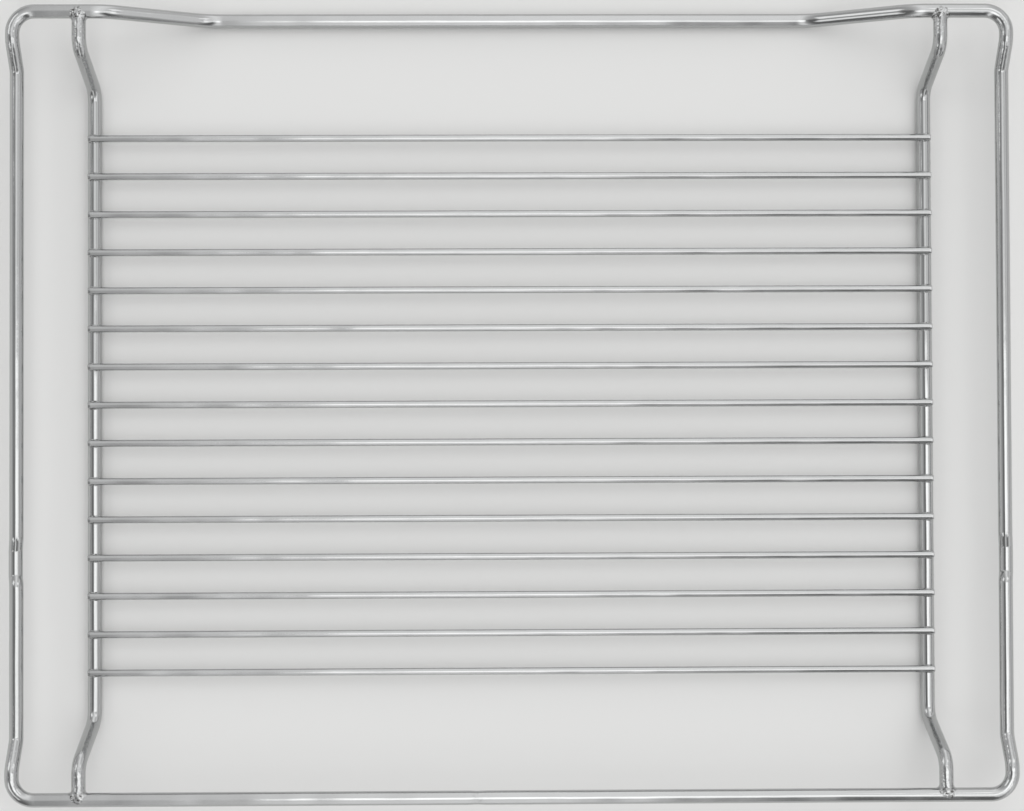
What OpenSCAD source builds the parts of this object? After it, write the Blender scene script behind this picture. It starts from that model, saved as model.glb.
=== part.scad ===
// Oven grill grate: a bent wire frame, two support bars and fifteen cross wires, all welded.
// Millimetres. +Z is up. The origin is under the middle of the grate, on the surface it rests on.
// The rail with the dip, over which dishes slide out, is at +Y.

/* [Frame wire] */
// Overall width over the two side rails at the corners
frame_w = 465; // [400:1:540]
// Overall depth over the front and rear rails
frame_d = 368; // [330:1:440]
// Diameter of the heavy wire that the frame is bent from
frame_wire_d = 6.5; // [5.5:0.1:7.5]
// Bend radius of the four corners, at the wire's centreline
corner_r = 10; // [8:0.5:16]
// Height of the raised corners above the low grid, centreline to centreline
grid_drop = 24.5; // [18:0.5:30]

/* [Front rail dip] */
// From the end of a support bar, inwards, to the start of the dip
dip_start = 12.7; // [11.5:0.1:20]
// Run of each sloping end of the dip
dip_run = 44; // [34:1:60]
// Bend radius in the dip, at the wire's centreline
dip_bend_r = 24; // [12:1:30]

/* [Side rails] */
// Straight wire between a corner bend and the start of the side rail's step down
side_lead = 3.5; // [3.2:0.1:10]
// Run of the step from the raised corner down to the side rail
side_run = 13; // [11:0.5:24]
// How far the side rail lies below the corners
side_drop = 7.5; // [4:0.5:9]
// How far the side rail lies inside the corners
side_inset = 0.7; // [0:0.1:3]
// Bend radius where the wire leaves the corner's level, at the wire's centreline
side_bend_r = 10; // [6:0.5:10]
// Bend radius at the foot of the step, at the wire's centreline
side_foot_r = 6; // [4.5:0.5:10]

/* [Stop lugs] */
// From the middle of the grate to the middle of each stop lug, towards the rear rail
lug_back = 72; // [40:1:100]
// Length of the lug's low flat, between its two bends
lug_flat = 13; // [6:0.5:16]
// Run of the lug's front ramp
lug_ramp = 5.5; // [4:0.5:9]
// Run of the lug's steep stop face
lug_step = 3; // [2.6:0.1:5]
// How far the lug drops below the side rail
lug_depth = 2.6; // [1.5:0.1:3.2]
// How far the lug stands out sideways
lug_out = 0.8; // [0:0.1:2]
// Bend radius in the lug, at the wire's centreline
lug_bend_r = 4; // [3.8:0.1:4.2]

/* [Support bars] */
// Diameter of the support bars' wire
bar_wire_d = 6.5; // [5.5:0.1:7.5]
// From the corner line of the side rail to the low part of the support bar
bar_inset = 34; // [30:0.5:60]
// How far each end of a support bar steps outwards
bar_flare = 3.5; // [0:0.5:8]
// From the rail's centreline to the upper bend of a support bar
bar_lead = 16; // [14:0.5:26]
// Run of the bar's slope, from its upper bend to its lower bend
bar_run = 17.6; // [12:0.2:30]
// Bend radius of the support bars, at the wire's centreline
bar_bend_r = 10; // [8:0.5:14]
// How far the bar's end is pressed into the side of the rail
bar_press = 2.3; // [1:0.1:2.6]
// Section radius of the weld collar round each end of a support bar
collar_r = 0.7; // [0.5:0.1:1.3]

/* [Cross wires] */
// Number of cross wires
cross_n = 15; // [9:1:15]
// Diameter of the cross wires
cross_wire_d = 3.3; // [2.6:0.1:4.2]
// From the lower bend of the bars to the nearest cross wire
cross_margin = 22.2; // [18:0.2:40]
// How deep each cross wire is welded down into the bars
cross_sink = 1.5; // [0.6:0.1:1.7]
// How far each cross wire stops short of the bar's outer side
cross_short = 0.5; // [0:0.1:1]
// Chamfer on the cut ends of the cross wires
cross_chamfer = 0.4; // [0.1:0.1:0.7]

/* [Hidden] */
$fn = 48;
frame_r = frame_wire_d / 2;
bar_r = bar_wire_d / 2;
cross_r = cross_wire_d / 2;

// Levels of the wire centrelines: the low grid stands on the ground, the corners are raised
low_z = frame_r;
high_z = low_z + grid_drop;
side_z = high_z - side_drop;
bar_low_z = bar_r;
cross_z = bar_wire_d - cross_sink + cross_r;

// Plan places of the wire centrelines
corner_x = frame_w / 2 - frame_r;
rail_y = frame_d / 2 - frame_r;
side_x = corner_x - side_inset;
bar_x = corner_x - bar_inset;
bar_end_x = bar_x + bar_flare;
bar_up_y = rail_y - bar_lead;
bar_down_y = bar_up_y - bar_run;
step_top_y = rail_y - corner_r - side_lead;
step_foot_y = step_top_y - side_run;
dip_top_x = bar_end_x - dip_start;
dip_foot_x = dip_top_x - dip_run;
lug_x = side_x + lug_out;
lug_z = side_z - lug_depth;
lug_front_y = -lug_back + (lug_ramp + lug_flat + lug_step) / 2;
flat_front_y = lug_front_y - lug_ramp;
flat_back_y = flat_front_y - lug_flat;
cross_first_y = bar_down_y - cross_margin;
cross_pitch = 2 * cross_first_y / (cross_n - 1);
cross_half = bar_x + bar_r - cross_short;

// A bend is drawn down by this much in radius, and straight lengths reach this far into it
bend_thin = 0.02;
bend_reach = 0.1;

// The weld collar's section lies this far inside the bar, and this far past the rail's side
collar_grip = 0.3;
collar_lap = 0.3;

function unit(v) = v / norm(v);
function bend_angle(a, b) = acos(max(-1, min(1, a * b)));
function cross_name(i) = str("cross_wire_", i < 10 ? "0" : "", i);

CROSS_NAMES = [for (i = [1 : cross_n]) cross_name(i)];

// A straight length of round wire from one point to another
module straight(from, to, r) {
    run = to - from;
    tilt = acos(run[2] / norm(run));
    heading = atan2(run[1], run[0]);
    translate(from)
        rotate([0, tilt, heading])
            cylinder(h = norm(run), r = r);
}

// One round bend of wire: it leaves the point start along the direction ahead and
// turns by the given angle towards the direction side, which is square to ahead
module bend(start, ahead, side, angle, bend_r, r) {
    up = cross(ahead, side);
    translate(start)
        multmatrix([
            [-side[0], ahead[0], up[0], 0],
            [-side[1], ahead[1], up[1], 0],
            [-side[2], ahead[2], up[2], 0]
        ])
            translate([-bend_r, 0, 0])
                rotate_extrude(angle = angle)
                    translate([bend_r, 0])
                        circle(r = r);
}

// Wire bent at corner points, each given as [point, bend radius]. An open wire has
// its ends at the first and last points; a closed one runs on round to the first.
// A bend is drawn down a little, and each straight length reaches into its bends.
module bent_wire(corners, r, closed = false) {
    n = len(corners);
    lengths = closed ? n : n - 1;
    points = [for (c = corners) c[0]];
    dirs = [for (i = [0 : lengths - 1]) unit(points[(i + 1) % n] - points[i])];
    turned = function (i) closed || (i > 0 && i < n - 1);
    ahead = function (i) dirs[(i + n - 1) % n];
    angle = [for (i = [0 : n - 1]) turned(i) ? bend_angle(ahead(i), dirs[i]) : 0];
    cut = [for (i = [0 : n - 1]) corners[i][1] * tan(angle[i] / 2)];
    reach = [for (i = [0 : n - 1]) turned(i) ? bend_reach : 0];
    for (i = [0 : lengths - 1]) {
        j = (i + 1) % n;
        straight(points[i] + (cut[i] - reach[i]) * dirs[i],
                 points[j] - (cut[j] - reach[j]) * dirs[i], r);
    }
    for (i = [0 : n - 1])
        if (turned(i)) {
            side = unit(dirs[i] - (dirs[i] * ahead(i)) * ahead(i));
            bend(points[i] - cut[i] * ahead(i), ahead(i), side, angle[i],
                 corners[i][1], r - bend_thin);
        }
}

// The right half of the frame's bends, from the middle of the front rail to the
// middle of the rear rail: dip, corner, step down, stop lug, step up, corner
HALF_FRAME = [
    [[dip_foot_x, rail_y, low_z], dip_bend_r],
    [[dip_top_x, rail_y, high_z], dip_bend_r],
    [[corner_x, rail_y, high_z], corner_r],
    [[corner_x, step_top_y, high_z], side_bend_r],
    [[side_x, step_foot_y, side_z], side_foot_r],
    [[side_x, lug_front_y, side_z], lug_bend_r],
    [[lug_x, flat_front_y, lug_z], lug_bend_r],
    [[lug_x, flat_back_y, lug_z], lug_bend_r],
    [[side_x, flat_back_y - lug_step, side_z], lug_bend_r],
    [[side_x, -step_foot_y, side_z], side_foot_r],
    [[corner_x, -step_top_y, high_z], side_bend_r],
    [[corner_x, -rail_y, high_z], corner_r]
];
function other_side(c) = [[-c[0][0], c[0][1], c[0][2]], c[1]];

// The outer frame is one length of wire, bent round and joined end to end
module outer_frame() {
    last = len(HALF_FRAME) - 1;
    color("silver")
        bent_wire(concat(HALF_FRAME, [for (i = [last : -1 : 0]) other_side(HALF_FRAME[i])]),
                  frame_r, closed = true);
}

// Space that the rail takes at the end of a bar
module rail_seat() {
    translate([0, rail_y, high_z])
        rotate([0, 90, 0])
            translate([0, 0, bar_end_x - bar_wire_d])
                cylinder(h = 2 * bar_wire_d, r = frame_r);
}

// The collar that the press weld squeezes up round the end of a bar
module weld_collar() {
    translate([bar_end_x, rail_y - frame_r + collar_lap, high_z])
        rotate([90, 0, 0])
            rotate_extrude()
                translate([bar_r - collar_grip, 0])
                    circle(r = collar_r);
}

// Groove that a cross wire is welded down into
module cross_seat(i) {
    translate([0, cross_first_y - (i - 1) * cross_pitch, cross_z])
        rotate([0, 90, 0])
            translate([0, 0, bar_x - bar_wire_d])
                cylinder(h = 2 * bar_wire_d, r = cross_r);
}

// A support bar: low under the cross wires, with both ends rising to the rails
module support_bar() {
    end_y = rail_y - frame_r + bar_press;
    color("silver")
        difference() {
            union() {
                bent_wire(
                    [[[bar_end_x, end_y, high_z], 0],
                     [[bar_end_x, bar_up_y, high_z], bar_bend_r],
                     [[bar_x, bar_down_y, bar_low_z], bar_bend_r],
                     [[bar_x, -bar_down_y, bar_low_z], bar_bend_r],
                     [[bar_end_x, -bar_up_y, high_z], bar_bend_r],
                     [[bar_end_x, -end_y, high_z], 0]],
                    bar_r);
                weld_collar();
                mirror([0, 1, 0]) weld_collar();
            }
            rail_seat();
            mirror([0, 1, 0]) rail_seat();
            for (i = [1 : cross_n]) cross_seat(i);
        }
}

module right_bar() {
    support_bar();
}

module left_bar() {
    mirror([1, 0, 0]) support_bar();
}

// One straight cross wire with both cut ends chamfered
module cross_wire(i) {
    tip_r = cross_r - cross_chamfer;
    body = 2 * (cross_half - cross_chamfer);
    color("silver")
        translate([-cross_half, cross_first_y - (i - 1) * cross_pitch, cross_z])
            rotate([0, 90, 0]) {
                cylinder(h = cross_chamfer, r1 = tip_r, r2 = cross_r);
                translate([0, 0, cross_chamfer])
                    cylinder(h = body, r = cross_r);
                translate([0, 0, cross_chamfer + body])
                    cylinder(h = cross_chamfer, r1 = cross_r, r2 = tip_r);
            }
}

outer_frame();
left_bar();
right_bar();
for (i = [1 : cross_n])
    cross_wire(i);
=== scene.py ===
# %% [markdown]
# # Oven grill grate
# This notebook dresses a wire grate for an oven: one heavy wire bent into a ring, two
# bars that drop under it, and a row of thin cross wires, all welded and then chromed.
# The CAD model already fixes every size. Blender's work is the look of drawn wire, of
# the welds, and of bright plating, which is nothing but a mirror of its surroundings.

# %% Start: the CAD model as a fixed frame
import math

import bmesh
import bpy
from mathutils import Matrix, Vector, noise


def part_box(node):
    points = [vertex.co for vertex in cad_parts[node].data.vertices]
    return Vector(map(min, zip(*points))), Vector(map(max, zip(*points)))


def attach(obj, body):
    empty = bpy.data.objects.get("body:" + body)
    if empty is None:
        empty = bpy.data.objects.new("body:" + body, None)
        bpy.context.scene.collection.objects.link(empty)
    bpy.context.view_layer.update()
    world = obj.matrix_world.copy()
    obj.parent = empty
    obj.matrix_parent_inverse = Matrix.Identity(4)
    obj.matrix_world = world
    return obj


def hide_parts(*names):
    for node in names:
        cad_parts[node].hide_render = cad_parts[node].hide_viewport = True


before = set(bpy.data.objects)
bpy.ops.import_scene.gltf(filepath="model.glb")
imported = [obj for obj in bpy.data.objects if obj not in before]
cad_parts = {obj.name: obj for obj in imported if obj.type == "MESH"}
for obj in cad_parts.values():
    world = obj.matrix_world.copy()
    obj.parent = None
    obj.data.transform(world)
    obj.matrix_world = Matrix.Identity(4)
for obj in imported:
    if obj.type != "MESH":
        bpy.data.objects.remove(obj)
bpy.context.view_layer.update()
print("nodes in the frame:", len(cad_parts))

# %% [markdown]
# Lengths are written in millimetres, as on a workshop drawing, and Blender works in
# metres, so one constant turns the first into the second. Colours are written as the
# hex values that a picture shows, and one function turns them to the linear light that
# the shaders count in.

# %% Units and colours
MM = 0.001


def linear(hex_colour):
    """An sRGB hex colour as linear RGBA."""
    channels = [int(hex_colour[i:i + 2], 16) / 255 for i in (1, 3, 5)]
    light = [c / 12.92 if c <= 0.04045 else ((c + 0.055) / 1.055) ** 2.4 for c in channels]
    return light + [1.0]


print("mid grey #808080 is", round(linear("#808080")[0], 3), "in linear light")

# %% [markdown]
# The picture was taken from almost straight above, about a metre up, with the camera a
# little towards the rear rail and the left side. Its top edge is the front of the
# grate. A camera could be aimed with a Track To constraint, but these three small angles
# came from matching the wires' places in the picture, so the rotation is built from them.

# %% Camera
IMAGE_W = 1024                 # pixels
CAMERA_HEIGHT = 1050 * MM      # above the level of the corners
PIXELS_PER_MM = 2.176          # at the level of the corners
TILT, YAW, ROLL = -1.302, 0.884, 0.224     # degrees
SLIDE_X, SLIDE_Y = -0.1 * MM, -1.3 * MM    # sideways and up, along the picture's own axes
SENSOR_W = 36                  # in millimetres, as lenses are
NEAREST, FARTHEST = 0.05, 20   # in metres, well outside what the camera has to see

ring_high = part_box("outer_frame")[1]
HEAVY_R = 6.5 / 2 * MM
corner_level = ring_high.z - HEAVY_R

picture_from_world = (Matrix.Rotation(math.radians(ROLL), 3, "Z")
                      @ Matrix.Rotation(math.radians(TILT), 3, "X")
                      @ Matrix.Rotation(math.radians(YAW), 3, "Y"))
world_from_picture = picture_from_world.transposed()
camera = bpy.data.objects.new("camera", bpy.data.cameras.new("camera"))
bpy.context.collection.objects.link(camera)
above_corners = world_from_picture @ Vector((SLIDE_X, SLIDE_Y, CAMERA_HEIGHT))
eye = above_corners + Vector((0, 0, corner_level))
camera.matrix_world = Matrix.Translation(eye) @ world_from_picture.to_4x4()
camera.data.sensor_width = SENSOR_W
camera.data.lens = SENSOR_W * (CAMERA_HEIGHT / MM) * PIXELS_PER_MM / IMAGE_W
camera.data.clip_start, camera.data.clip_end = NEAREST, FARTHEST
bpy.context.scene.camera = camera
print("camera at, mm:", [round(v / MM) for v in eye], "lens", round(camera.data.lens, 1), "mm")

# %% [markdown]
# Every material below is a small tree of nodes. One helper adds a node, sets its
# values and links its inputs, so that a material reads as a list of steps.

# %% A helper for nodes
def add(tree, kind, values=None, links=None, **settings):
    """One node: settings are its own options, values go on its sockets, links feed them."""
    node = tree.nodes.new(kind)
    for key, value in settings.items():
        setattr(node, key, value)
    for key, value in (values or {}).items():
        node.inputs[key].default_value = value
    for key, source in (links or {}).items():
        tree.links.new(source, node.inputs[key])
    return node


def new_material(name):
    """An empty node material with its output node."""
    material = bpy.data.materials.new(name)
    material.use_nodes = True
    material.node_tree.nodes.clear()
    return material, add(material.node_tree, "ShaderNodeOutputMaterial")


# %% [markdown]
# ## Bright chrome on drawn wire
# Shelf wire is mild steel pulled through a die, which leaves faint lines along its
# length, then polished in a tumbler, nickelled and given a flash of chrome. What the
# eye gets is a mirror bent round a wire: long bright and dark lines, softened across
# the wire by the drawing lines, and wandering a little where the wire isn't quite
# straight. Two noises do this as bump, and a third one changes the roughness in patches,
# as handling and cleaning do. A fourth one dents the wire where tools have held it, and
# the wire is duller there. The sweep further on marks those places in an attribute
# called "dressed". It also gives each wire a UV map in metres, along it and round it, so
# the patterns have real sizes: drawing lines about 0.5 mm apart, far finer in truth, and
# a waviness of 35 mm.

# %% Material: chrome-plated steel wire
CHROME = linear("#B6B7B7")
DRAW_LINE, DRAW_LENGTH, DRAW_DEPTH = 0.5 * MM, 25 * MM, 0.012 * MM
WAVE_LENGTH, WAVE_DEPTH = 35 * MM, 0.9 * MM
GRIP, GRIP_DEPTH = 4.5 * MM, 1.5 * MM
PATCH = 14 * MM
PATCH_FROM, PATCH_TO = 0.4, 0.7    # the patch noise's values where handling begins and ends
CLEAN_ROUGH, HANDLED_ROUGH = 0.09, 0.16
DRESSED_ROUGH = 0.08               # added where tools have held the wire

chrome_wire, out = new_material("chrome-plated steel wire")
tree = chrome_wire.node_tree
along = add(tree, "ShaderNodeUVMap", uv_map="wire")
lines = add(tree, "ShaderNodeMapping", {"Scale": (1 / DRAW_LENGTH, 1 / DRAW_LINE, 1)},
            {"Vector": along.outputs["UV"]})
drawn = add(tree, "ShaderNodeTexNoise", {"Scale": 1, "Detail": 3, "Roughness": 0.6},
            {"Vector": lines.outputs["Vector"]}, noise_dimensions="2D")
coords = add(tree, "ShaderNodeTexCoord")
wave = add(tree, "ShaderNodeTexNoise", {"Scale": 1 / WAVE_LENGTH, "Detail": 1},
           {"Vector": coords.outputs["Object"]})
patches = add(tree, "ShaderNodeTexNoise", {"Scale": 1 / PATCH, "Detail": 4, "Roughness": 0.65},
              {"Vector": coords.outputs["Object"]})
dressed = add(tree, "ShaderNodeAttribute", attribute_name="dressed")
wavy = add(tree, "ShaderNodeBump", {"Strength": 1, "Distance": WAVE_DEPTH},
           {"Height": wave.outputs["Fac"]})
grip = add(tree, "ShaderNodeTexNoise", {"Scale": 1 / GRIP, "Detail": 3, "Roughness": 0.55},
           {"Vector": coords.outputs["Object"]})
gripped = add(tree, "ShaderNodeMath", None, {0: grip.outputs["Fac"], 1: dressed.outputs["Fac"]},
              operation="MULTIPLY")
dented = add(tree, "ShaderNodeBump", {"Strength": 1, "Distance": GRIP_DEPTH},
             {"Height": gripped.outputs[0], "Normal": wavy.outputs["Normal"]})
scored = add(tree, "ShaderNodeBump", {"Strength": 1, "Distance": DRAW_DEPTH},
             {"Height": drawn.outputs["Fac"], "Normal": dented.outputs["Normal"]})
handled = add(tree, "ShaderNodeMapRange", {"From Min": PATCH_FROM, "From Max": PATCH_TO,
                                           "To Min": CLEAN_ROUGH, "To Max": HANDLED_ROUGH},
              {"Value": patches.outputs["Fac"]})
ground = add(tree, "ShaderNodeMath", {1: DRESSED_ROUGH}, {0: dressed.outputs["Fac"]},
             operation="MULTIPLY")
rough = add(tree, "ShaderNodeMath", None, {0: handled.outputs["Result"], 1: ground.outputs[0]},
            operation="ADD")
metal = add(tree, "ShaderNodeBsdfPrincipled", {"Base Color": CHROME, "Metallic": 1.0},
            {"Roughness": rough.outputs[0], "Normal": scored.outputs["Normal"]})
tree.links.new(metal.outputs[0], out.inputs["Surface"])
print("chrome reads as linear", [round(v, 2) for v in CHROME[:3]])

# %% [markdown]
# ## Plated weld metal
# The welds are made before plating, so the same chrome lies over them. It looks
# greyer because the metal below was squeezed out half molten and set in small folds.
# The big shapes are in the mesh; a fine bump adds the folds, and the colour turns a
# little grey-brown in the hollows: painted shade of the folds, where the plating is also thin.

# %% Material: plated weld metal
FOLD, FOLD_DEPTH = 1.1 * MM, 0.09 * MM
# Painted shade: the darker grey-brown colour that the hollows of the folds get, and where it
# starts and ends.
HOLLOW_SHADE_PAINT = linear("#565553")
HOLLOW_ROUGH, CREST_ROUGH = 0.34, 0.18
SHADE_PAINT_FROM, SHADE_PAINT_TO = 0.35, 0.5     # the folds' values where the hollow's colour starts and ends
ROUGH_FROM, ROUGH_TO = 0.35, 0.6   # and where its roughness does

weld_metal, out = new_material("chrome-plated weld metal")
tree = weld_metal.node_tree
coords = add(tree, "ShaderNodeTexCoord")
folds = add(tree, "ShaderNodeTexNoise", {"Scale": 1 / FOLD, "Detail": 2, "Roughness": 0.5},
            {"Vector": coords.outputs["Object"]})
lumpy = add(tree, "ShaderNodeBump", {"Strength": 1, "Distance": FOLD_DEPTH},
            {"Height": folds.outputs["Fac"]})
# Painted shade: the fold noise's low values, its hollows, take the darker colour below.
plated = add(tree, "ShaderNodeMapRange", {"From Min": SHADE_PAINT_FROM, "From Max": SHADE_PAINT_TO},
             {"Value": folds.outputs["Fac"]})
COLOUR_A, COLOUR_B, MIXED = 6, 7, 2      # a colour Mix node's sockets, by number
tint = add(tree, "ShaderNodeMix", {COLOUR_A: HOLLOW_SHADE_PAINT, COLOUR_B: CHROME},
           {0: plated.outputs["Result"]}, data_type="RGBA")
rough = add(tree, "ShaderNodeMapRange", {"From Min": ROUGH_FROM, "From Max": ROUGH_TO,
                                         "To Min": HOLLOW_ROUGH, "To Max": CREST_ROUGH},
            {"Value": folds.outputs["Fac"]})
metal = add(tree, "ShaderNodeBsdfPrincipled", {"Metallic": 1.0},
            {"Base Color": tint.outputs[MIXED], "Normal": lumpy.outputs["Normal"],
             "Roughness": rough.outputs["Result"]})
tree.links.new(metal.outputs[0], out.inputs["Surface"])
print("materials:", chrome_wire.name, "and", weld_metal.name)

# %% [markdown]
# ## Wire, bent
# A bent wire is a round section carried along a line of straights and arcs. A curve
# object with a bevel would do it, but its rings turn and bunch at tight bends, and it
# gives no lengthways UVs. So the line is worked out as the wire bender sets it, from
# corner points with a bend radius each, and the rings are laid one by one: no wire here
# ever stands upright, so "sideways" is always square to the wire and level.

# %% The line that a bent wire follows
BEND_STEP = math.radians(6)    # a bend has a point at least this often
FEWEST_STEPS = 2


def bent_line(corners, closed=False):
    """Points of a wire's centreline from (corner point, bend radius) pairs, arcs rounded off."""
    n = len(corners)
    line = []
    for i, (point, radius) in enumerate(corners):
        if not closed and i in (0, n - 1):
            line.append(point)
            continue
        ahead = (point - corners[i - 1][0]).normalized()
        away = (corners[(i + 1) % n][0] - point).normalized()
        turn = ahead.angle(away)
        inside = (away - ahead * ahead.dot(away)).normalized()
        start = point - ahead * radius * math.tan(turn / 2)
        steps = max(FEWEST_STEPS, math.ceil(turn / BEND_STEP))
        for k in range(steps + 1):
            angle = turn * k / steps
            line.append(start + ahead * radius * math.sin(angle)
                        + inside * radius * (1 - math.cos(angle)))
    return line


# %% [markdown]
# Smooth shading averages the normals where two rings meet. Between the ends of a long
# straight that average would bend the reflection along the whole wire, so each long
# straight gets one more ring close to each of its ends, which keeps the blend that short.

# %% Hold the ends of the long straights
HOLD = 1.0 * MM
LONG_STRAIGHT = 4 * HOLD       # shorter ones need no extra rings


def held(line, closed):
    """The line with a point close to both ends of each long straight."""
    points = []
    for i, here in enumerate(line):
        points.append(here)
        run = line[(i + 1) % len(line)] - here
        if run.length > LONG_STRAIGHT and (closed or i < len(line) - 1):
            points += [here + run.normalized() * HOLD, here + run - run.normalized() * HOLD]
    return points


# %% Sweep a round section along a line
SIDES = 36


def as_object(name, mesh):
    """Turns a finished bmesh into an object of the scene."""
    data = bpy.data.meshes.new(name)
    mesh.to_mesh(data)
    mesh.free()
    made = bpy.data.objects.new(name, data)
    bpy.context.collection.objects.link(made)
    return made


def sweep(name, line, radius_at, closed=False, sides=SIDES, dressed_at=None):
    """A tube mesh along a line, radius_at(point) wide. UVs are metres along and round it."""
    line = held(line, closed)
    n = len(line)
    mesh = bmesh.new()
    uv = mesh.loops.layers.uv.new("wire")
    mark = mesh.verts.layers.float.new("dressed")
    rings, lengths, length = [], [], 0.0
    for i, point in enumerate(line):
        before = line[i - 1] if i or closed else point
        after = line[(i + 1) % n] if i < n - 1 or closed else point
        ahead = (point - before).normalized() + (after - point).normalized()
        ahead.normalize()
        sideways = ahead.cross(Vector((0, 0, 1))).normalized()
        upward = sideways.cross(ahead)
        length += (point - line[i - 1]).length if i else 0.0
        lengths.append(length)
        ring = []
        for k in range(sides):
            angle = math.tau * k / sides
            vert = mesh.verts.new(point + radius_at(point) * (sideways * math.cos(angle)
                                                              + upward * math.sin(angle)))
            vert[mark] = dressed_at(point) if dressed_at else 0.0
            ring.append(vert)
        rings.append(ring)
    round_it = math.tau * radius_at(line[n // 2])
    for i in range(n if closed else n - 1):
        here, there = rings[i], rings[(i + 1) % n]
        far = lengths[i + 1] if i + 1 < n else lengths[i] + (line[0] - line[i]).length
        for k in range(sides):
            next_k = (k + 1) % sides
            face = mesh.faces.new((here[k], here[next_k], there[next_k], there[k]))
            face.smooth = True
            low, high = k / sides * round_it, (k + 1) / sides * round_it
            places = ((lengths[i], low), (lengths[i], high), (far, high), (far, low))
            for loop, place in zip(face.loops, places):
                loop[uv].uv = place
    if not closed:
        mesh.faces.new(rings[0][::-1])
        mesh.faces.new(rings[-1])
    bmesh.ops.recalc_face_normals(mesh, faces=mesh.faces)
    return as_object(name, mesh)


# %% Finish a piece
def finish_piece(piece, material, *nodes):
    """Gives a piece its finish, sets it on the grate and lets it stand for its CAD nodes."""
    piece.data.materials.append(material)
    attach(piece, "root")
    if nodes:
        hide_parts(*nodes)
    return piece


# %% [markdown]
# ## The outer frame
# One length of 6.5 mm wire, bent in a jig: the front rail dips in the middle so that a
# dish slides out, the side rails step down to the height of the oven's runners, and
# each has a small lug that drops into a stop. Its ends meet in the rear rail and are
# butt-welded, then ground back, which leaves a slightly thinner, duller stretch.
# The sizes are read from the CAD model's boxes where they can be, and the bends are
# the drawing's own.

# %% The outer frame's corners
bar_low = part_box("right_bar")[0]
rod_low, rod_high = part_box("cross_wire_01")
FRAME_W = 465 * MM
CORNER_BEND = 10 * MM
DIP_BEND, DIP_START, DIP_RUN = 24 * MM, 12.7 * MM, 44 * MM
SIDE_LEAD, SIDE_RUN, SIDE_DROP, SIDE_INSET = [v * MM for v in (3.5, 13, 7.5, 0.7)]
SIDE_BEND, FOOT_BEND = 10 * MM, 6 * MM
LUG_BACK, LUG_FLAT, LUG_RAMP, LUG_STEP = [v * MM for v in (72, 13, 5.5, 3)]
LUG_DEPTH, LUG_OUT, LUG_BEND = [v * MM for v in (2.6, 0.8, 4)]
BAR_FLARE, BAR_LEAD, BAR_RUN, BAR_BEND = [v * MM for v in (3.5, 16, 17.6, 10)]

corner_x = FRAME_W / 2 - HEAVY_R
rail_y = ring_high.y - HEAVY_R
low_level = HEAVY_R
side_level = corner_level - SIDE_DROP
side_x = corner_x - SIDE_INSET
bar_x = bar_low.x + HEAVY_R
bar_end_x = bar_x + BAR_FLARE
dip_top_x = bar_end_x - DIP_START
step_top_y = rail_y - CORNER_BEND - SIDE_LEAD
step_foot_y = step_top_y - SIDE_RUN
lug_front_y = -LUG_BACK + (LUG_RAMP + LUG_FLAT + LUG_STEP) / 2
lug_flat_y = lug_front_y - LUG_RAMP
lug_back_y = lug_flat_y - LUG_FLAT

half_ring = [
    ((dip_top_x - DIP_RUN, rail_y, low_level), DIP_BEND),
    ((dip_top_x, rail_y, corner_level), DIP_BEND),
    ((corner_x, rail_y, corner_level), CORNER_BEND),
    ((corner_x, step_top_y, corner_level), SIDE_BEND),
    ((side_x, step_foot_y, side_level), FOOT_BEND),
    ((side_x, lug_front_y, side_level), LUG_BEND),
    ((side_x + LUG_OUT, lug_flat_y, side_level - LUG_DEPTH), LUG_BEND),
    ((side_x + LUG_OUT, lug_back_y, side_level - LUG_DEPTH), LUG_BEND),
    ((side_x, lug_back_y - LUG_STEP, side_level), LUG_BEND),
    ((side_x, -step_foot_y, side_level), FOOT_BEND),
    ((corner_x, -step_top_y, corner_level), SIDE_BEND),
    ((corner_x, -rail_y, corner_level), CORNER_BEND),
]
ring_corners = [(Vector(p), r) for p, r in half_ring]
ring_corners += [(Vector((-p[0], p[1], p[2])), r) for p, r in reversed(half_ring)]
print("rail to rail, mm:", round(2 * rail_y / MM, 1), " drop of the grid, mm:",
      round((corner_level - low_level) / MM, 1))

# %% Bend and weld the outer frame
SEAM_X = -16.5 * MM
SEAM_HALF = 4.5 * MM
SEAM_THIN = 0.15 * MM
SEAM_RINGS = 6             # in each half of it


def seam(point):
    """1 in the middle of the ground butt weld in the rear rail, fading to 0 at its ends."""
    if point.y > 0:
        return 0.0
    away = abs(point.x - SEAM_X) / SEAM_HALF
    return 0.5 + 0.5 * math.cos(math.pi * away) if away < 1 else 0.0


SEAM_DRESSED = 0.2         # it was ground and polished, so the mark it leaves is faint
JIG_MARK = 0.2             # the bending jig's mark at a corner, as strong as the seam's
JIG_REACH = 18 * MM


def ring_dressed(point):
    """How strongly tools marked the ring: at its seam, and round each corner and side step."""
    away = math.hypot(abs(point.x) - corner_x, abs(point.y) - step_top_y) / JIG_REACH
    return max(SEAM_DRESSED * seam(point), JIG_MARK * (1 - away * away))


ring_line = bent_line(ring_corners, closed=True)
rear_right = next(i for i, p in enumerate(ring_line)
                  if p.y < 0 and ring_line[(i + 1) % len(ring_line)].x < 0 < p.x)
seam_points = [Vector((SEAM_X + SEAM_HALF * k / SEAM_RINGS, -rail_y, corner_level))
               for k in range(SEAM_RINGS, -SEAM_RINGS - 1, -1)]
ring_line = ring_line[:rear_right + 1] + seam_points + ring_line[rear_right + 1:]
outer_frame = sweep("outer_frame_wire", ring_line, lambda p: HEAVY_R - SEAM_THIN * seam(p),
                    closed=True, dressed_at=ring_dressed)
finish_piece(outer_frame, chrome_wire, "outer_frame")
wire_length = sum((p - q).length for p, q in zip(ring_line, ring_line[1:] + ring_line[:1]))
print("outer frame:", len(outer_frame.data.polygons), "faces, wire length",
      round(wire_length / MM), "mm")

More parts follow.
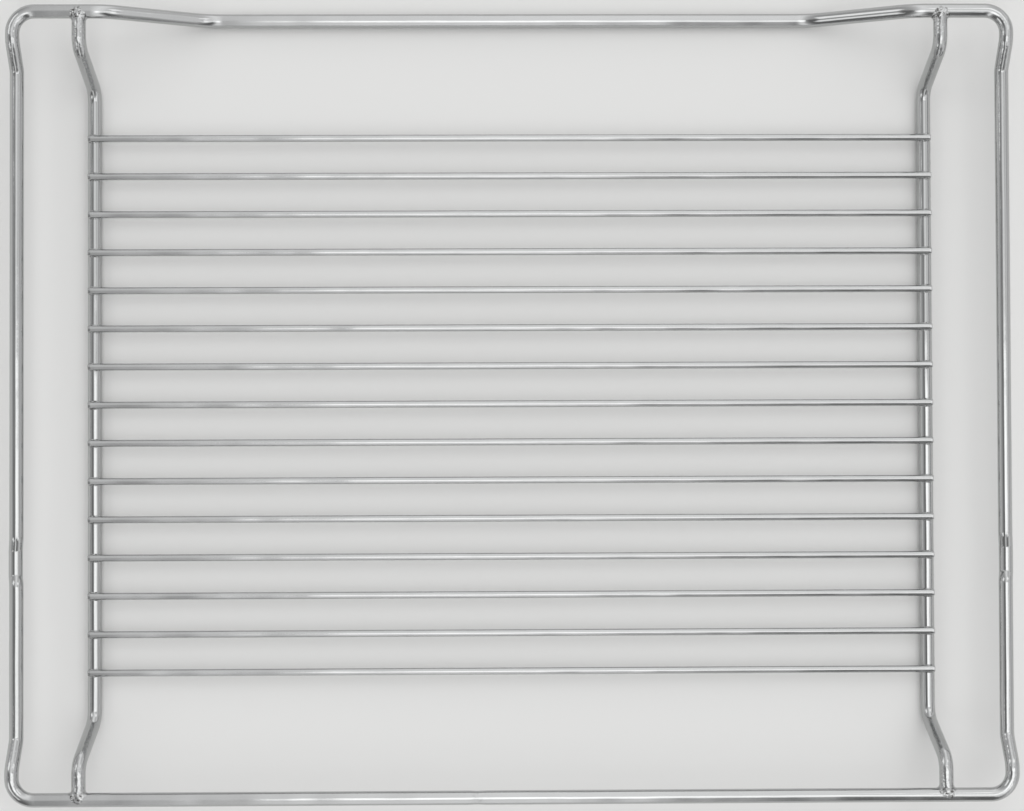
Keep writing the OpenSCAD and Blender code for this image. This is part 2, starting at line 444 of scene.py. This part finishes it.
# %% [markdown]
# ## The support bars
# The same wire again, cut short, with both ends bent up. The ends are pressed against
# the rails while a heavy current runs through, so they sink into the rail a little.
# That meeting is hidden in the weld, so the bar's mesh just runs on into the rail.

# %% The two bars
BAR_STOP = 2.0 * MM        # the full round ends this far short of the rail's centreline
bar_up_y = rail_y - BAR_LEAD
bar_down_y = bar_up_y - BAR_RUN
bar_end_y = rail_y - BAR_STOP


def bar_corners(side):
    """Corner points and bend radii of the bar on the side +1 (right) or -1 (left)."""
    half = [((side * bar_end_x, bar_end_y, corner_level), 0),
            ((side * bar_end_x, bar_up_y, corner_level), BAR_BEND),
            ((side * bar_x, bar_down_y, low_level), BAR_BEND)]
    back = [((x, -y, z), r) for (x, y, z), r in reversed(half)]
    return [(Vector(p), r) for p, r in half + back]


GRIPPED = 0.5              # how strongly the bending tool and the electrodes marked the bars' ends


def gripped_end(point):
    """0 along the bar, rising to GRIPPED from the foot of each slope to the end."""
    into_end = (abs(point.y) - bar_down_y) / (bar_end_y - bar_down_y)
    return GRIPPED * min(1.0, max(0.0, into_end))


for side, node in ((1, "right_bar"), (-1, "left_bar")):
    bar_line = bent_line(bar_corners(side))
    bar = sweep(node + "_wire", bar_line, lambda p: HEAVY_R, dressed_at=gripped_end)
    finish_piece(bar, chrome_wire, node)
    print(node, "box, mm:", [round(v / MM, 1) for v in bar.dimensions])

# %% [markdown]
# ## The cross wires
# Fifteen straight wires, cropped to length and tumbled, which takes the corners off
# their ends. Each end gets four rings that follow that small round. Their places come
# from the CAD model's own boxes, one wire at a time.

# %% The row of cross wires
ROD_SIDES = 24
END_ROUND = 0.4 * MM
END_ANGLES = (0, 30, 60, 90)   # degrees round it, one for each ring
rod_r = (rod_high.z - rod_low.z) / 2
rod_end = rod_high.x


def rod_radius(point):
    """The cross wire's radius, less where its end is rounded."""
    into_round = max(0.0, END_ROUND - (rod_end - abs(point.x)))
    return rod_r - END_ROUND + math.sqrt(max(0.0, END_ROUND ** 2 - into_round ** 2))


cross_nodes = sorted(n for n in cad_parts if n.startswith("cross_wire_"))
steps = [END_ROUND * (1 - math.cos(math.radians(a))) for a in END_ANGLES]
xs = [-rod_end + step for step in steps] + [rod_end - step for step in reversed(steps)]
for node in cross_nodes:
    low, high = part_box(node)
    middle = (low + high) / 2
    rod_line = [Vector((x, middle.y, middle.z)) for x in xs]
    rod = sweep(node + "_rod", rod_line, rod_radius, sides=ROD_SIDES)
    finish_piece(rod, chrome_wire, node)

# %% [markdown]
# ## Where bars meet rails
# Two round wires of one size meet in a curve like a saddle: seen from above it is a V
# that opens towards the bar's sides, and it is what makes these joints catch the light
# as a Y. The weld fills that corner with a soft fillet of uneven width. A Boolean and
# a bevel would give a perfect, machined corner. Here a strip of vertices is laid across
# the saddle curve, and each vertex is moved out to where a smooth minimum of the two
# wires' distances is nothing: that is the shape molten metal takes between them. Noise
# changes the fillet's width as it goes round.

# %% The field that a weld follows
FILLET = 1.6 * MM          # the fillet's mean size
HIDE = 0.08 * MM           # how far the strip's edges lie under the wires' surfaces
EMERGE = 2.5               # how fast the strip comes out of them as the fillet begins
SETTLE_STEPS = 6
PROBE = 0.01 * MM          # the distance over which the field's slope is measured
LEAST_SLOPE = 0.25         # keeps a step short where the field is almost flat


def weld_level(p, size):
    """How far p lies outside the two wires blended by a fillet of that size."""
    past_end = max(p.y + BAR_STOP, 0.0)
    to_bar = math.hypot(p.x, p.z, past_end) - HEAVY_R
    to_rail = math.hypot(p.y, p.z) - HEAVY_R
    blend = max(size - abs(to_bar - to_rail), 0.0) / size
    cover = min(1.0, EMERGE * blend)
    return min(to_bar, to_rail) - blend * blend * size / 4 + HIDE * (1 - cover)


def settle(p, size, rise):
    """Moves p out of or into the metal until it lies at the height rise over the blend."""
    for _ in range(SETTLE_STEPS):
        here = weld_level(p, size) - rise
        slope = Vector([(weld_level(p + PROBE * axis, size) - rise - here) / PROBE
                        for axis in (Vector((1, 0, 0)), Vector((0, 1, 0)), Vector((0, 0, 1)))])
        p = p - slope * here / max(slope.length_squared, LEAST_SLOPE)
    return p


# %% The saddle weld between a bar and a rail
STRIP = 3.2 * MM           # the strip's half width, along the bar and over the rail
AROUND, ACROSS = 96, 20    # its faces round the bar and over its width
PRESSED = 0.37 * MM        # the electrodes leave no metal higher than this over the wires
UNEVEN, UNEVEN_LENGTH = 0.5, 2.2 * MM          # the share by which the fillet's size changes
RIPPLE_HEIGHT, RIPPLE_LENGTH = 0.04 * MM, 1.2 * MM
DOME = 1.5                 # the power that rounds off a bead


def saddle_weld(name, x, side_y, seed, beads):
    """Weld metal round the end of a bar at x on the rail at side_y * rail_y."""
    mesh = bmesh.new()
    rows = []
    for k in range(AROUND):
        phi = math.tau * k / AROUND
        c, s = math.cos(phi), math.sin(phi)
        row = []
        for j in range(ACROSS + 1):
            t = STRIP * (2 * j / ACROSS - 1)
            if t < 0:
                p = Vector((HEAVY_R * c, -HEAVY_R * abs(c) + t, HEAVY_R * s))
            else:
                swing = math.asin(max(-1.0, min(1.0, s))) + t / HEAVY_R * s
                p = Vector(((HEAVY_R + t) * c, -HEAVY_R * math.cos(swing),
                            HEAVY_R * math.sin(swing)))
            size = FILLET * (1 + UNEVEN * noise.noise(p / UNEVEN_LENGTH + Vector((seed, 0, 0))))
            rise = RIPPLE_HEIGHT * noise.noise(p / RIPPLE_LENGTH + Vector((0, seed, 0)))
            edge = 1 - (abs(t) / STRIP) ** 2
            for bead_x, bead_y, bead_r, bead_h in beads:
                away = math.hypot(p.x / MM - bead_x, p.y / MM - bead_y) / bead_r
                if p.z > 0 and away < 1:
                    rise += bead_h * MM * (1 - away * away) ** DOME
            p = settle(p, size, rise * edge)
            over = max(0.0, abs(p.z) - HEAVY_R)
            p.z -= math.copysign(over - PRESSED * math.tanh(over / PRESSED), p.z)
            row.append(mesh.verts.new(p))
        rows.append(row)
    for k in range(AROUND):
        here, there = rows[k], rows[(k + 1) % AROUND]
        for j in range(ACROSS):
            mesh.faces.new((here[j], there[j], there[j + 1], here[j + 1])).smooth = True
    for vert in mesh.verts:
        vert.co = Vector((x + vert.co.x, side_y * (rail_y + vert.co.y), corner_level + vert.co.z))
    bmesh.ops.recalc_face_normals(mesh, faces=mesh.faces)
    return finish_piece(as_object(name, mesh), weld_metal)


# %% Four saddle welds, with the beads that the picture shows
# Each weld is its side in x, its side in y, the seed of its noise and its beads. Each bead
# is (x, y, radius, height) in mm from the crossing of the two centrelines, y outwards.
# They are spatter that was squeezed out and flattened.
WELDS = {
    "front_left_weld": (-1, 1, 11.3, [
        (-2.9, -0.2, 1.3, 0.3), (-0.4, -1.4, 1.3, 0.3), (1.6, -1.0, 1.2, 0.26),
        (-1.2, 1.3, 1.3, 0.36), (0.9, 1.4, 1.2, 0.34)]),
    "front_right_weld": (1, 1, 4.7, [
        (-1.9, -0.4, 1.1, 0.25), (2.2, 0.2, 1.1, 0.28), (0.2, -2.2, 1.2, 0.2)]),
    "rear_left_weld": (-1, -1, 7.9, [
        (-2.2, -1.4, 1.3, 0.3), (0.6, -1.2, 1.1, 0.25), (1.9, -0.6, 1.1, 0.22)]),
    "rear_right_weld": (1, -1, 2.6, [
        (-1.7, -0.6, 1.1, 0.22), (0.4, -1.6, 1.2, 0.28), (2.3, -0.4, 1.0, 0.2)]),
}
for name, (side, side_y, seed, beads) in WELDS.items():
    weld = saddle_weld(name, side * bar_end_x, side_y, seed, beads)
    print(name, len(weld.data.polygons), "faces")

# %% [markdown]
# ## Where cross wires meet bars
# Each crossing is melted for a few hundredths of a second while the wire is pressed
# down, so the wire sinks into the bar by almost half and a thin seam of metal wells up
# round it. The line where two round wires of different size cross is a closed loop,
# worked out from both circles, and a thin uneven bead is laid along it.

# %% The loop round a crossing
LOOP_POINTS = 40
WIDEST = 0.999             # the loop's half width, as a share of the cross wire's radius
rod_level = (rod_low.z + rod_high.z) / 2 - low_level


def crossing_loop():
    """The loop where a cross wire meets a bar, about the crossing of their centrelines."""
    loop = []
    for k in range(LOOP_POINTS):
        a = math.tau * k / LOOP_POINTS
        y = rod_r * max(-WIDEST, min(WIDEST, math.cos(a)))
        z = min(rod_level - math.sqrt(rod_r ** 2 - y ** 2), HEAVY_R)
        x = math.sqrt(HEAVY_R ** 2 - z ** 2) * (1 if math.sin(a) >= 0 else -1)
        loop.append(Vector((x, y, z)))
    return loop


loop = crossing_loop()
print("a crossing's loop spans, mm:", round(2 * max(p.x for p in loop) / MM, 2), "by",
      round(2 * max(p.y for p in loop) / MM, 2))

# %% Beads round the crossings
BEAD_R = 0.42 * MM
BEAD_SIDES = 8
BEAD_UNEVEN, BEAD_LENGTH = 0.6, 1.6 * MM       # the share by which its radius changes
BEAD_FLAT = 0.7                # its height, as a share of its width
NEXT_NOISE = 3.1               # how far apart the noise is read for two neighbours


def crossing_beads(name, x, seed):
    """All the crossing beads of the bar at x, as one mesh."""
    mesh = bmesh.new()
    for i, node in enumerate(cross_nodes):
        low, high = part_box(node)
        centre = Vector((x, (low.y + high.y) / 2, low_level))
        rings = []
        for k, point in enumerate(loop):
            ahead = (loop[(k + 1) % len(loop)] - loop[k - 1]).normalized()
            outward = Vector((point.x, 0, point.z)).normalized()
            sideways = ahead.cross(outward).normalized()
            upward = sideways.cross(ahead)
            own_noise = Vector((seed, NEXT_NOISE * i, 0))
            swell = 1 + BEAD_UNEVEN * noise.noise(point / BEAD_LENGTH + own_noise)
            ring = []
            for j in range(BEAD_SIDES):
                angle = math.tau * j / BEAD_SIDES
                ring.append(mesh.verts.new(centre + point + BEAD_R * swell
                                           * (sideways * math.cos(angle)
                                              + upward * BEAD_FLAT * math.sin(angle))))
            rings.append(ring)
        for k in range(len(rings)):
            here, there = rings[k], rings[(k + 1) % len(rings)]
            for j in range(BEAD_SIDES):
                next_j = (j + 1) % BEAD_SIDES
                face = mesh.faces.new((here[j], here[next_j], there[next_j], there[j]))
                face.smooth = True
    bmesh.ops.recalc_face_normals(mesh, faces=mesh.faces)
    return finish_piece(as_object(name, mesh), weld_metal)


for side, name, seed in ((1, "right_bar_crossing_welds", 6), (-1, "left_bar_crossing_welds", 4)):
    beads = crossing_beads(name, side * bar_x, seed)
    print(name, len(beads.data.polygons), "faces")

# %% [markdown]
# ## The studio
# The grate lies on a pale matt sheet. Chrome shows only what stands round it, so the
# room is planned as a reflection. In the picture every wire that runs front to back has
# one bright line, dark grey to its left and mid grey to its right, and every cross wire
# is grey at the left, brightest in the middle and bright only on its front side at the
# right. A broad panel overhead, a little to the right and rear, draws the bright line.
# The walls are the world, as two profiles of brightness from left to right, one for the
# front and one for the rear. Four soft panels fill the shadows evenly. They stand over
# the corners of the room, which straight wires never mirror, but bends and slopes do:
# the left pair stands lower, where it shows along the right slope of the front rail.
# The left slope has a brighter stretch of the right wall instead.

# %% Floor
FIBRE, FIBRE_DEPTH = 4 * MM, 0.05 * MM

pale_sheet, out = new_material("matt pale sheet")
tree = pale_sheet.node_tree
coords = add(tree, "ShaderNodeTexCoord")
fibre = add(tree, "ShaderNodeTexNoise", {"Scale": 1 / FIBRE, "Detail": 3},
            {"Vector": coords.outputs["Object"]})
felt = add(tree, "ShaderNodeBump", {"Strength": 0.1, "Distance": FIBRE_DEPTH},
           {"Height": fibre.outputs["Fac"]})
matt = add(tree, "ShaderNodeBsdfPrincipled", {"Base Color": linear("#E9E9E8"), "Roughness": 0.8,
                                              "Specular IOR Level": 0.2},
           {"Normal": felt.outputs["Normal"]})
tree.links.new(matt.outputs[0], out.inputs["Surface"])

FLOOR_HALF = 4.0           # in metres
sheet = bmesh.new()
sheet.faces.new([sheet.verts.new((x * FLOOR_HALF, y * FLOOR_HALF, 0))
                 for x, y in ((-1, -1), (1, -1), (1, 1), (-1, 1))])
floor = as_object("floor", sheet)
floor.data.materials.append(pale_sheet)
print("floor:", 2 * FLOOR_HALF, "m wide")

# %% Lamps
WATTS_PER_M2 = 4           # a square metre of panel with this power looks as bright as 1


def soft_panel(name, width, height, place, aim, radiance):
    """An area lamp of the given size in metres that looks as bright as radiance."""
    lamp = bpy.data.lights.new(name, "AREA")
    lamp.shape, lamp.size, lamp.size_y = "RECTANGLE", width, height
    lamp.energy = radiance * WATTS_PER_M2 * width * height
    panel = bpy.data.objects.new(name, lamp)
    panel.location = place
    panel.rotation_mode = "QUATERNION"
    panel.rotation_quaternion = (Vector(aim) - Vector(place)).to_track_quat("-Z", "Y")
    panel.visible_camera = False
    bpy.context.collection.objects.link(panel)


# Places are in metres from the middle of the grate: x to the right, y to the front.
GRATE = (0, 0, 0)
OVER_X, OVER_Y, OVER_Z = 0.55, -0.4, 2.0
RIGHT_X, RIGHT_Y, RIGHT_Z = 1.15, 1.15, 1.9
LEFT_X, LEFT_Y, LEFT_Z = -1.45, 0.95, 1.35
soft_panel("overhead_panel", width=1.6, height=1.0, place=(OVER_X, OVER_Y, OVER_Z),
           aim=(OVER_X, OVER_Y, 0), radiance=0.8)
for end, name in ((1, "front"), (-1, "rear")):
    soft_panel(name + "_right_panel", width=0.9, height=0.9,
               place=(RIGHT_X, RIGHT_Y * end, RIGHT_Z), aim=GRATE, radiance=0.65)
    soft_panel(name + "_left_panel", width=1.0, height=0.8,
               place=(LEFT_X, LEFT_Y * end, LEFT_Z), aim=GRATE, radiance=0.8)

# %% Room
world = bpy.data.worlds.new("room")
bpy.context.scene.world = world
world.use_nodes = True
tree = world.node_tree
tree.nodes.clear()
out = add(tree, "ShaderNodeOutputWorld")
way = add(tree, "ShaderNodeTexCoord")
axes = add(tree, "ShaderNodeSeparateXYZ", None, {"Vector": way.outputs["Generated"]})
across_room = add(tree, "ShaderNodeMapRange", {"From Min": -1, "From Max": 1},
                  {"Value": axes.outputs["X"]})


def wall_profile(levels):
    """Brightness from the left wall (-1) over the top (0) to the right wall (1)."""
    profile = add(tree, "ShaderNodeValToRGB", None, {"Fac": across_room.outputs["Result"]})
    stops = profile.color_ramp.elements
    for place, level in levels:
        at = (place + 1) / 2
        stop = stops[0] if place == -1 else stops[-1] if place == 1 else stops.new(at)
        stop.position, stop.color = at, (level, level, level, 1)
    return profile.outputs["Color"]


FRONT = [(-1, 0.9), (-0.87, 0.6), (-0.6, 0.5), (-0.35, 0.6), (-0.17, 0.82), (-0.05, 1.12),
         (0.05, 1.25), (0.2, 1.15), (0.4, 0.85), (0.6, 0.75), (0.69, 0.95), (0.79, 0.95),
         (0.87, 0.5), (1, 0.8)]
REAR = [(-1, 0.85), (-0.87, 0.5), (-0.74, 0.5), (-0.6, 0.2), (-0.35, 0.2), (-0.17, 0.55),
        (-0.07, 1.1), (0.03, 1.15), (0.12, 0.5), (0.2, 0.15), (0.35, 0.25), (0.6, 0.6),
        (0.69, 0.95), (0.79, 0.95), (0.87, 0.75), (1, 0.75)]
SLANT = 0.3                # the bright front reaches further back on the right
BLEND_FROM, BLEND_TO = -0.25, 0.2      # where the rear profile ends and the front one begins
ROOM_STRENGTH = 1.08
frontward = add(tree, "ShaderNodeMath", {1: SLANT}, {0: axes.outputs["X"], 2: axes.outputs["Y"]},
                operation="MULTIPLY_ADD")
to_front = add(tree, "ShaderNodeMapRange", {"From Min": BLEND_FROM, "From Max": BLEND_TO},
               {"Value": frontward.outputs[0]}, interpolation_type="SMOOTHSTEP")
walls = add(tree, "ShaderNodeMix", None, {0: to_front.outputs["Result"],
                                          COLOUR_A: wall_profile(REAR),
                                          COLOUR_B: wall_profile(FRONT)}, data_type="RGBA")
room = add(tree, "ShaderNodeBackground", {"Strength": ROOM_STRENGTH},
           {"Color": walls.outputs[MIXED]})
tree.links.new(room.outputs[0], out.inputs["Surface"])
bpy.context.scene.view_settings.view_transform = "Standard"
brightest = max(level for place, level in FRONT + REAR)
print("the room's brightest level:", round(brightest * ROOM_STRENGTH, 2))
